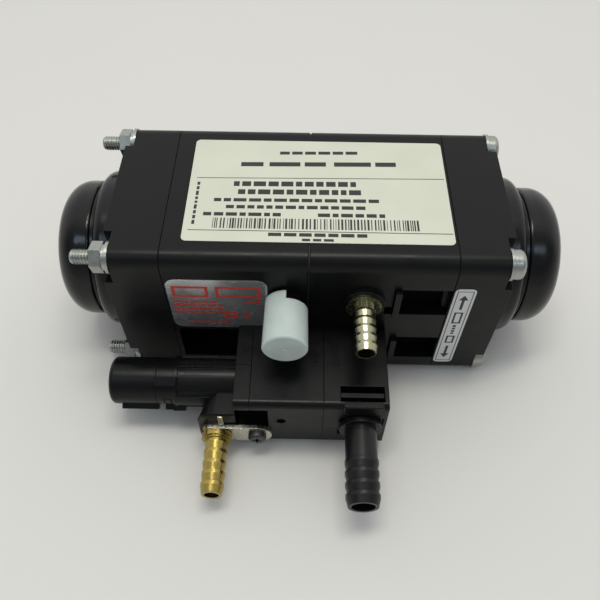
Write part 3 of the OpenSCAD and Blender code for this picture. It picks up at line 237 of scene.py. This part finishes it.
def soft_polythene(name):
    """Translucent white polythene: light goes a little way in, with faint drawing marks along the cap."""
    paint = Paint(name)
    cloud = paint.span(paint.noise(5, 3), 0.35, 0.7)
    paint.set(Base_Color=paint.mix(cloud, (0.50, 0.575, 0.555), (0.56, 0.62, 0.60)))
    paint.set(Subsurface_Weight=0.55, Subsurface_Radius=(1.6, 1.9, 1.9), Subsurface_Scale=1.2 * MM)
    paint.set(Roughness=paint.span(paint.noise(0.8, 3, (1, 0.05, 1)), 0.3, 0.7, 0.30, 0.42))
    paint.set(Normal=paint.bump(paint.noise(1.4, 2, (1, 0.1, 1)), 0.02, paint.rounded(0.4)))
    return paint.material


def plain_rubber(name, colour, rough=0.6):
    """Matt rubber with a fine, even grain."""
    paint = Paint(name)
    paint.set(Base_Color=paint.mix(paint.noise(2, 3), colour, tuple(c * 1.5 for c in colour)))
    paint.set(Roughness=paint.span(paint.noise(1.1, 3), 0.3, 0.7, rough - 0.07, rough + 0.08))
    paint.set(Normal=paint.bump(paint.noise(0.4, 2), 0.01, paint.rounded(0.15)))
    return paint.material


def ink(name, colour):
    """Printing ink, rubbed thin in specks."""
    paint = Paint(name)
    wear = paint.span(paint.noise(0.35, 3), 0.62, 0.8)
    paint.set(Base_Color=paint.mix(paint.maths("MULTIPLY", wear, 0.35), colour, tuple(c * 0.7 + 0.2 for c in colour)))
    paint.set(Roughness=paint.span(paint.noise(1.5, 2), 0.3, 0.7, 0.37, 0.47))
    return paint.material


# Colour, roughness and surface of each finish; sizes in millimetres
MATERIALS = {
    "body": moulded("body_plastic", (0.0034, 0.0036, 0.0040), 0.33, dust=0.04),
    "end": moulded("end_plastic", (0.0036, 0.0038, 0.0042), 0.36, dust=0.05),
    "dome": moulded("dome_plastic", (0.0028, 0.0030, 0.0034), 0.17, grain=2.2, grain_depth=0.03, dust=0.03,
                    shine=0.32),
    "block": moulded("block_plastic", (0.0032, 0.0034, 0.0038), 0.30, grain=1.1, dust=0.04),
    "clip": moulded("clip_plastic", (0.0034, 0.0036, 0.0040), 0.36, edge=0.2, dust=0.03),
    "barb": moulded("barb_plastic", (0.0040, 0.0042, 0.0044), 0.30, edge=0.25, dust=0.04, shine=0.3),
    "zinc": metal("zinc_plate", (0.40, 0.415, 0.385), 0.30, tarnish=(0.22, 0.235, 0.215)),
    "steel": metal("turned_steel", (0.405, 0.395, 0.26), 0.2, edge=0.08, turned="Y", tarnish=(0.36, 0.35, 0.28),
                   blotch=0.12),
    "shaft": metal("shaft_steel", (0.68, 0.67, 0.65), 0.2, turned="X"),
    "plate": metal("sheet_steel", (0.62, 0.61, 0.54), 0.26, tarnish=(0.40, 0.39, 0.34)),
    "screw": metal("black_screw", (0.09, 0.09, 0.095), 0.34, tarnish=(0.05, 0.05, 0.052)),
    "brass": metal("turned_brass", (0.40, 0.305, 0.088), 0.22, edge=0.08, turned="Y", tarnish=(0.42, 0.31, 0.07),
                   blotch=0.15),
    "acetal": moulded("acetal", (0.72, 0.72, 0.68), 0.35, dust=0.0, worn=0.1, shine=0.5),
    "rubber": plain_rubber("rubber", (0.016, 0.016, 0.016)),
    "flap": plain_rubber("flap_rubber", (0.55, 0.16, 0.07), 0.5),
    "cap": soft_polythene("soft_cap"),
    "label_top": film("label_pale", (0.63, 0.645, 0.535), 0.34, metallic=0.15, coat=0.2),
    "label_gas": film("label_silver", (0.62, 0.64, 0.66), 0.24, metallic=0.85, coat=0.15, waviness=0.12),
    "label_port": film("label_white", (0.72, 0.73, 0.72), 0.38),
    "ink_black": ink("ink_black", (0.012, 0.012, 0.013)),
    "ink_red": ink("ink_red", (0.55, 0.035, 0.02)),
}

# The CAD nodes that each finish goes on
FINISHES = {
    "body": ["mid_housing_left", "mid_housing_right"],
    "end": ["end_cap_left", "end_cap_right"],
    "dome": ["dome_left", "dome_right"],
    "block": ["spool_body", "inlet_manifold", "shutoff_body", "gas_inlet_housing", "shutoff_tube", "shutoff_cap",
              "gas_out_nipple"],
    "clip": ["out_slide_clip", "in_slide_clip", "inlet_lift_clip"],
    "barb": ["product_in_barb"],
    "zinc": ["tie_bolts", "tie_nuts", "flat_washers", "lock_washers"],
    "steel": ["product_out_barb"],
    "shaft": ["pump_shaft", "shaft_nuts", "valve_spool", "shutoff_spring"],
    "plate": ["retainer_plate"],
    "screw": ["retainer_screw"],
    "brass": ["gas_in_barb"],
    "acetal": ["inner_piston_left", "inner_piston_right", "outer_piston_left", "outer_piston_right",
               "inlet_valve_seats", "outlet_valve_seats", "spool_sleeve", "shutoff_piston"],
    "rubber": ["centre_gasket", "diaphragm_left", "diaphragm_right", "shaft_seals", "inlet_manifold_seal",
               "out_barb_seal", "in_barb_seal", "gas_barb_seal"],
    "flap": ["inlet_valve_flaps", "outlet_valve_flaps"],
    "cap": ["gas_out_cap"],
    "label_top": ["top_label"],
    "label_gas": ["gas_label"],
    "label_port": ["port_label"],
}


def dress_nodes():
    """Puts each CAD node's finish on it."""
    for finish, nodes in FINISHES.items():
        for name in nodes:
            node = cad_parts[name]
            node.data.materials.clear()
            node.data.materials.append(MATERIALS[finish])


def mesh_piece(name, built, finish, body):
    """Turns a bmesh into a piece that rides on a body and takes its finish from a slot."""
    data = bpy.data.meshes.new(name)
    bmesh.ops.recalc_face_normals(built, faces=built.faces)
    built.to_mesh(data)
    built.free()
    piece = bpy.data.objects.new(name, data)
    data.materials.append(MATERIALS[finish])
    bpy.context.scene.collection.objects.link(piece)
    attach(piece, body)
    return piece


def add_prism(built, outline, height, place):
    """Closed prism over a flat outline in millimetres; place maps (u, v, out) to the frame in metres."""
    low = [built.verts.new(place(u, v, 0)) for u, v in outline]
    high = [built.verts.new(place(u, v, height)) for u, v in outline]
    count = len(outline)
    built.faces.new(list(reversed(low)))
    built.faces.new(high)
    for i in range(count):
        j = (i + 1) % count
        built.faces.new((low[i], low[j], high[j], high[i]))


def rectangle(u, v, w, h):
    """Outline of a rectangle from its lower left corner."""
    return [(u, v), (u + w, v), (u + w, v + h), (u, v + h)]


def dashes(u, v, width, height, rng, word=(2.0, 4.6), gap=0.9):
    """A row of plain dashes, the length of words, from u to u + width."""
    row = []
    at = u
    while at < u + width - word[0]:
        length = min(rng.uniform(*word), u + width - at)
        row.append(rectangle(at, v, length, height))
        at += length + gap
    return row


def print_piece(name, outlines, finish, place):
    """Print of a label, standing proud by the thickness of its ink."""
    built = bmesh.new()
    for outline in outlines:
        add_prism(built, outline, PRINT_THICK, place)
    mesh_piece(name, built, finish, "pump_body")


def print_top_label():
    """Plain rules, dashes and stripes in the layout of a data plate, with no lettering."""
    low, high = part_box("top_label")
    rng = random.Random(5)
    length = (high.x - low.x) / MM
    width = (high.y - low.y) / MM

    # The print lies a little askew on the film, more so towards its top, and keeps off its edge
    level, askew, margin = 4.9, 0.00056, 0.3

    def place(u, v, out):
        v = min(v + askew * (v - level) * u, width - margin)
        return Vector((low.x + u * MM, low.y + v * MM, high.z + out * MM))

    # Two thin rules
    rule, upper_rule = 0.3, 30.1
    shapes = [rectangle(1.9, level - rule / 2, length - 2.4, rule),
              rectangle(2.3, upper_rule - rule / 2, length - 2.9, rule)]
    # Row of small dashes at the top, then broad ones: u and width
    shapes += dashes(31.9, 42.5, 29.2, 1.6, rng)
    broad_v, broad_tall = 36.2, 2.2
    for u, w in ((17.8, 8.2), (28.2, 11.4), (41.2, 7.8), (52.0, 13.6), (67.2, 7.6)):
        shapes.append(rectangle(u, broad_v, w, broad_tall))
    # Rows in the middle field: u, v, width, height
    for u, v, w, h in ((15.9, 26.0, 46.1, 2.4), (17.7, 22.0, 44.1, 2.4), (9.5, 18.4, 58.1, 1.6),
                       (14.0, 15.1, 49.9, 1.6), (6.4, 11.6, 26.9, 1.6), (46.1, 11.6, 24.2, 1.6)):
        shapes += dashes(u, v, w, h, rng)
    # Stripes of mixed widths
    at, stripes_end = 10.0, 80.6
    stripe_v, stripe_tall = 5.9, 4.7
    while at < stripes_end:
        stripe = rng.choice((0.22, 0.35, 0.5, 0.7))
        shapes.append(rectangle(at, stripe_v, stripe, stripe_tall))
        at += stripe + rng.choice((0.3, 0.45, 0.6, 0.9))
    # Column of small dashes at the left, and the rows at the foot
    at, column_end = 7.5, 28
    column_u, column_wide, column_gap = 2.8, 1.0, 0.7
    while at < column_end:
        tall = rng.uniform(1.0, 2.6)
        shapes.append(rectangle(column_u, at, column_wide, tall))
        at += tall + column_gap
    shapes += dashes(29.3, 2.7, 34.1, 1.5, rng) + dashes(40.8, 0.7, 13, 1.1, rng)
    print_piece("top_label_print", shapes, "ink_black", place)


def front_place(low_x, low_z, out_y):
    """Places (u, v, out) on a face that looks to the front."""
    return lambda u, v, out: Vector((low_x + u * MM, out_y - out * MM, low_z + v * MM))


def frame_outline(u, v, w, h, stroke):
    """Four strokes round a rectangle."""
    return [rectangle(u, v, w, stroke), rectangle(u, v + h - stroke, w, stroke),
            rectangle(u, v + stroke, stroke, h - 2 * stroke),
            rectangle(u + w - stroke, v + stroke, stroke, h - 2 * stroke)]


def arrow(u, v, length, stroke, head, turn):
    """Arrow from (u, v), turned by that many degrees."""
    shaft = [(0, -stroke / 2), (length - head, -stroke / 2), (length - head, stroke / 2), (0, stroke / 2)]
    tip = [(length - head, -head * 0.6), (length, 0), (length - head, head * 0.6)]
    c, s = math.cos(math.radians(turn)), math.sin(math.radians(turn))
    return [[(u + x * c - y * s, v + x * s + y * c) for x, y in part] for part in (shaft, tip)]


def print_gas_label():
    """Empty frames, dashes and two arrows in red."""
    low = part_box("gas_label")[0]
    rng = random.Random(11)
    stroke, head = 1.1, 2.2
    shapes = frame_outline(1.8, 18.8, 12.6, 6.2, stroke) + frame_outline(17.0, 18.8, 15.8, 6.2, stroke)
    for v in (15.6, 13.5, 11.4, 9.3):
        shapes += dashes(1.3, v, 17.6, 1.0, rng, (1.6, 3.4), 0.6)
    shapes += arrow(26.7, 16.2, 6.4, 0.8, head, 0)
    shapes += frame_outline(19.0, 6.0, 4.8, 4.2, stroke) + arrow(27.2, 10.4, 4.6, 0.9, head, -90)
    shapes += dashes(5.8, 2.9, 17, 1.0, rng, (2, 4), 0.7)
    print_piece("gas_label_print", shapes, "ink_red", front_place(low.x, low.z, low.y))


def print_port_label():
    """A thin frame with an arrow at each end, and two empty boxes with small dashes between them."""
    low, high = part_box("port_label")
    width = (high.x - low.x) / MM
    tall = (high.z - low.z) / MM
    rng = random.Random(3)
    middle = width / 2
    side, foot = 0.8, 1.2
    shapes = frame_outline(side, foot, width - 2 * side, tall - 2 * foot, 0.3)
    arrow_from_end, length, stroke, head = 12, 8.5, 1.0, 2.8
    shapes += arrow(middle, tall - arrow_from_end, length, stroke, head, 90)
    shapes += arrow(middle, arrow_from_end, length, stroke, head, -90)
    box_wide = 3.2
    for v, box_tall in ((27.5, 7.0), (14.2, 5.0)):
        shapes += frame_outline(middle - box_wide / 2, v, box_wide, box_tall, 0.7)
    at, dashes_end = 20.4, 26.4
    dash_wide, gap = 1.2, 0.5
    while at < dashes_end:
        dash = rng.uniform(0.8, 1.5)
        shapes.append(rectangle(middle - dash_wide / 2, at, dash_wide, dash))
        at += dash + gap
    print_piece("port_label_print", shapes, "ink_black", front_place(low.x, low.z, low.y))


def skin_rings(built, rings):
    """Skins rings of points into a bar, with its ends closed."""
    rows = [[built.verts.new(p) for p in ring] for ring in rings]
    count = len(rows[0])
    for a, b in zip(rows, rows[1:]):
        for i in range(count):
            j = (i + 1) % count
            built.faces.new((a[i], a[j], b[j], b[i]))
    built.faces.new(list(reversed(rows[0])))
    built.faces.new(rows[-1])


def thread_rings(axis_y, axis_z, x0, x1, crest, root, pitch):
    """Rings of a screw thread along X: the radius follows the helix, and both ends run out to the root."""
    sides, steps_a_turn = 40, 10
    run_out_length = 0.7 * pitch
    # Above 1 the teeth get flat crests
    tooth_height = 1.25
    steps = round(abs(x1 - x0) / pitch * steps_a_turn)
    rings = []
    for k in range(steps + 1):
        x = x0 + (x1 - x0) * k / steps
        run_out = min(1, min(abs(x - x0), abs(x - x1)) / run_out_length)
        ring = []
        for i in range(sides):
            turn = i / sides
            phase = (abs(x - x0) / pitch - turn) % 1
            tooth = 1 - abs(2 * phase - 1)
            r = root + (crest - root) * min(1, tooth_height * tooth) * run_out
            a = 2 * math.pi * turn
            ring.append((x, axis_y + r * math.cos(a), axis_z + r * math.sin(a)))
        rings.append(ring)
    return rings


def make_tie_threads():
    """Screw threads on the bare ends of the tie bolts, seated on their plain cores."""
    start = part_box("tie_bolts")[0].x + 0.4 * MM
    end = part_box("tie_nuts")[0].x + 0.3 * MM
    washers_low, washers_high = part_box("lock_washers")
    washer_r = 4.7 * MM
    step_y = (washers_high.y - washers_low.y) / 2 - washer_r
    step_z = (washers_high.z - washers_low.z) / 2 - washer_r
    core, pitch = 2.4 * MM, 1.0 * MM
    crest, root = core + 0.3 * MM, core - 0.2 * MM
    built = bmesh.new()
    for side_y in (-1, 1):
        for side_z in (-1, 1):
            skin_rings(built, thread_rings(side_y * step_y, AXIS_Z + side_z * step_z, start, end, crest, root, pitch))
    piece = mesh_piece("tie_bolt_threads", built, "zinc", "pump_body")
    for face in piece.data.polygons:
        face.use_smooth = True


def add_box(built, x0, x1, z0, z1, d0, d1):
    """Box in millimetres; d counts forward from the front face."""
    add_prism(built, [(x0, z0), (x1, z0), (x1, z1), (x0, z1)], d1 - d0,
              lambda u, v, out: Vector((u * MM, FRONT - (d0 + out) * MM, v * MM)))


def bevel_piece(piece, width):
    """Rounds the edges of a small box-shaped piece."""
    built = bmesh.new()
    built.from_mesh(piece.data)
    bmesh.ops.bevel(built, geom=built.edges[:], offset=width * MM, segments=2, affect="EDGES", clamp_overlap=True)
    built.to_mesh(piece.data)
    built.free()


def ray_to_outline(centre, angle, outline):
    """Where a ray from the centre leaves a convex outline."""
    c, s = math.cos(angle), math.sin(angle)
    best = None
    for (x0, z0), (x1, z1) in zip(outline, outline[1:] + outline[:1]):
        ex, ez = x1 - x0, z1 - z0
        cross = c * ez - s * ex
        if abs(cross) < 1e-9:
            continue
        dx, dz = x0 - centre[0], z0 - centre[1]
        along = (dx * ez - dz * ex) / cross
        share = (dx * s - dz * c) / cross
        if along > 0 and -1e-6 <= share <= 1 + 1e-6:
            best = along if best is None else min(best, along)
    return centre[0] + best * c, centre[1] + best * s


def make_hood_shell():
    """Tapered housing round the gas barb, skinned between four rings, open where the barb turns."""
    barb_low, barb_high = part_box("gas_in_barb")
    centre = ((barb_low.x + barb_high.x) / 2 / MM, (barb_low.z + barb_high.z) / 2 / MM)
    # The shell ends short of the housing's right side
    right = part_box("gas_inlet_housing")[1].x / MM - 5.2
    front_edge = [(-39.3, 4.0), (right, 4.0), (right, 22.4), (-33.2, 22.4), (-37.2, 20.9), (-39.3, 17.6)]
    back_edge = [(-37.2, 4.4), (right, 4.4), (right, 22.4), (-32.6, 22.4), (-34.6, 21.2), (-36.4, 17.0)]
    hole, sides = 6.25, 72
    back, front, face = 23.2, 32.4, 32.9
    built = bmesh.new()
    rows = []
    # Outline, or None for the hole, with its depth and how far it is drawn in
    for outline, depth, inset in ((None, back, 0), (back_edge, back, 0), (front_edge, front, 0),
                                  (front_edge, face, 0.5), (None, face, 0)):
        ring = []
        for i in range(sides):
            angle = 2 * math.pi * i / sides
            if outline is None:
                x, z = centre[0] + hole * math.cos(angle), centre[1] + hole * math.sin(angle)
            else:
                x, z = ray_to_outline(centre, angle, outline)
                x, z = x - inset * math.cos(angle), z - inset * math.sin(angle)
            ring.append(built.verts.new((x * MM, FRONT - depth * MM, z * MM)))
        rows.append(ring)
    for a, b in zip(rows, rows[1:] + rows[:1]):
        for i in range(sides):
            j = (i + 1) % sides
            built.faces.new((a[i], a[j], b[j], b[i]))
    mesh_piece("hood_shell", built, "block", "pump_body")


def make_small_parts():
    """The retainer's upright tongue and the sharp-edged strap in front of the lift-out clip."""
    built = bmesh.new()
    add_box(built, -31.5, -29.7, 15.6, 22.0, 33.1, 33.7)
    bevel_piece(mesh_piece("retainer_tongue", built, "plate", "pump_body"), 0.15)
    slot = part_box("inlet_lift_clip")
    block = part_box("inlet_manifold")
    depth = (FRONT - block[0].y) / MM
    built = bmesh.new()
    add_box(built, slot[0].x / MM + 0.9, slot[1].x / MM - 0.2, 25.4, block[1].z / MM + 0.05, depth - 2.2, depth + 0.25)
    bevel_piece(mesh_piece("manifold_strap", built, "block", "pump_body"), 0.25)


def make_spring():
    """The shut-off's spring, as a copy of its CAD node, which is hidden."""
    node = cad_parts["shutoff_spring"]
    piece = bpy.data.objects.new("coil_spring", node.data.copy())
    bpy.context.scene.collection.objects.link(piece)
    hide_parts("shutoff_spring")
    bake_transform(piece)


def turn_profile(built, profile, sign):
    """Closed ring round the pump's axis from a profile of (distance, radius) in millimetres."""
    sides = 96
    rows = []
    for i in range(sides):
        angle = 2 * math.pi * i / sides
        rows.append([built.verts.new((sign * x * MM, r * math.cos(angle) * MM, AXIS_Z + r * math.sin(angle) * MM))
                     for x, r in profile])
    for a, b in zip(rows, rows[1:] + rows[:1]):
        for j in range(len(profile)):
            k = (j + 1) % len(profile)
            built.faces.new((a[j], a[k], b[k], b[j]))


def make_diaphragms():
    """Each diaphragm in two parts: the disc between the piston plates moves with the shaft, the rim stays."""
    thick, hole = 1.6, 2.53
    bead_depth, bead_width = 1.4, 2.47
    # Radius at which the roll's middle lies, its own radii inside and outside, and steps round its half
    roll_at, roll_in, roll_out, arc = 21.6, 2.6, 4.2, 16
    disc_edge = roll_at - roll_out - 0.1

    def roll(seat, radius, steps):
        return [(seat + radius * math.sin(math.pi * i / arc), roll_at - radius * math.cos(math.pi * i / arc))
                for i in range(steps)]

    for side, sign in (("left", -1), ("right", 1)):
        low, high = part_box("diaphragm_" + side)
        outer = (high.z - low.z) / 2 / MM
        seat = min(abs(low.x), abs(high.x)) / MM + bead_depth
        built = bmesh.new()
        turn_profile(built, [(seat, hole), (seat, disc_edge), (seat + thick, disc_edge), (seat + thick, hole)], sign)
        disc = mesh_piece("diaphragm_disc_" + side, built, "rubber", "shaft_assembly")
        # Rim: half a roll, whose outer skin stops at the flat ring's face, and the bead that is clamped
        profile = roll(seat, roll_out, arc - 1)
        profile += [(seat + thick, outer), (seat - bead_depth, outer), (seat - bead_depth, outer - bead_width),
                    (seat, outer - bead_width)]
        profile += reversed(roll(seat, roll_in, arc + 1))
        built = bmesh.new()
        turn_profile(built, profile, sign)
        rim = mesh_piece("diaphragm_rim_" + side, built, "rubber", "pump_body")
        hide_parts("diaphragm_" + side)
        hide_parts("diaphragm_" + side)


def sky_ramp(tree, height, stops):
    """Colour by height above the horizon, from stops of (place, colour) that start at 0."""
    made = tree.nodes.new("ShaderNodeValToRGB")
    tree.links.new(height, made.inputs[0])
    elements = made.color_ramp.elements
    elements.remove(elements[1])
    for place, colour in stops[1:]:
        elements.new(place)
    for element, (place, colour) in zip(elements, stops):
        element.position = place
        element.color = (*colour, 1)
    return made.outputs[0]


def make_lights():
    """A pale room behind and above the pump, dim towards the viewer, with soft lamps."""
    world = bpy.data.worlds.new("studio")
    bpy.context.scene.world = world
    world.use_nodes = True
    tree = world.node_tree
    direction = tree.nodes.new("ShaderNodeTexCoord").outputs["Generated"]
    split = tree.nodes.new("ShaderNodeSeparateXYZ")
    tree.links.new(direction, split.inputs[0])
    behind = sky_ramp(tree, split.outputs["Z"],
                      ((0.0, (0.80, 0.80, 0.79)), (0.45, (0.88, 0.88, 0.87)), (1.0, (1.0, 1.0, 0.96))))
    ahead = sky_ramp(tree, split.outputs["Z"],
                     ((0.0, (0.50, 0.51, 0.53)), (0.4, (0.22, 0.23, 0.25)), (1.0, (0.45, 0.45, 0.44))))
    share = tree.nodes.new("ShaderNodeMapRange")
    share.interpolation_type = "SMOOTHSTEP"
    tree.links.new(split.outputs["Y"], share.inputs["Value"])
    share.inputs["From Min"].default_value = -0.25
    share.inputs["From Max"].default_value = 0.25
    mixed = tree.nodes.new("ShaderNodeMix")
    mixed.data_type = "RGBA"
    tree.links.new(share.outputs["Result"], mixed.inputs[MIX_SHARE])
    tree.links.new(ahead, mixed.inputs[MIX_A])
    tree.links.new(behind, mixed.inputs[MIX_B])
    background = tree.nodes["Background"]
    tree.links.new(mixed.outputs[MIX_RESULT], background.inputs["Color"])
    background.inputs["Strength"].default_value = 1.0

    def softbox(name, place, target, size, power, colour):
        """Rectangular lamp aimed at a point, with its size in metres and power in watts."""
        data = bpy.data.lights.new(name, "AREA")
        data.shape = "RECTANGLE"
        data.size, data.size_y = size
        data.energy = power
        data.color = colour
        lamp = bpy.data.objects.new(name, data)
        aim = (Vector(target) - Vector(place)).to_track_quat("-Z", "Y")
        lamp.matrix_world = Matrix.Translation(place) @ aim.to_matrix().to_4x4()
        bpy.context.scene.collection.objects.link(lamp)

    softbox("overhead", (-0.02, 0.06, 0.90), (0, 0, 0.03), (0.5, 0.16), 2.9, (1.0, 0.985, 0.90))
    window_size, window_power, daylight = (0.16, 0.20), 0.38, (0.62, 0.80, 1.0)
    softbox("window", (-0.42, -0.42, 0.80), (-0.05, 0, 0.03), window_size, window_power, daylight)
    softbox("far window", (0.45, -0.46, 0.78), (0.05, 0, 0.03), window_size, window_power, daylight)


def make_floor():
    """Plain pale floor under the pump."""
    half_side = 2.5
    built = bmesh.new()
    bmesh.ops.create_grid(built, x_segments=8, y_segments=8, size=half_side)
    data = bpy.data.meshes.new("floor")
    built.to_mesh(data)
    built.free()
    floor = bpy.data.objects.new("floor", data)
    paint = Paint("floor")
    paint.set(Base_Color=paint.mix(paint.noise(60, 2), (0.70, 0.69, 0.665), (0.715, 0.705, 0.68)))
    paint.set(Roughness=0.75)
    data.materials.append(paint.material)
    bpy.context.scene.collection.objects.link(floor)


make_camera()
dress_nodes()
print_top_label()
print_gas_label()
print_port_label()
make_tie_threads()
make_hood_shell()
make_small_parts()
make_spring()
make_diaphragms()
make_lights()
make_floor()
bpy.context.scene.view_settings.view_transform = "Standard"
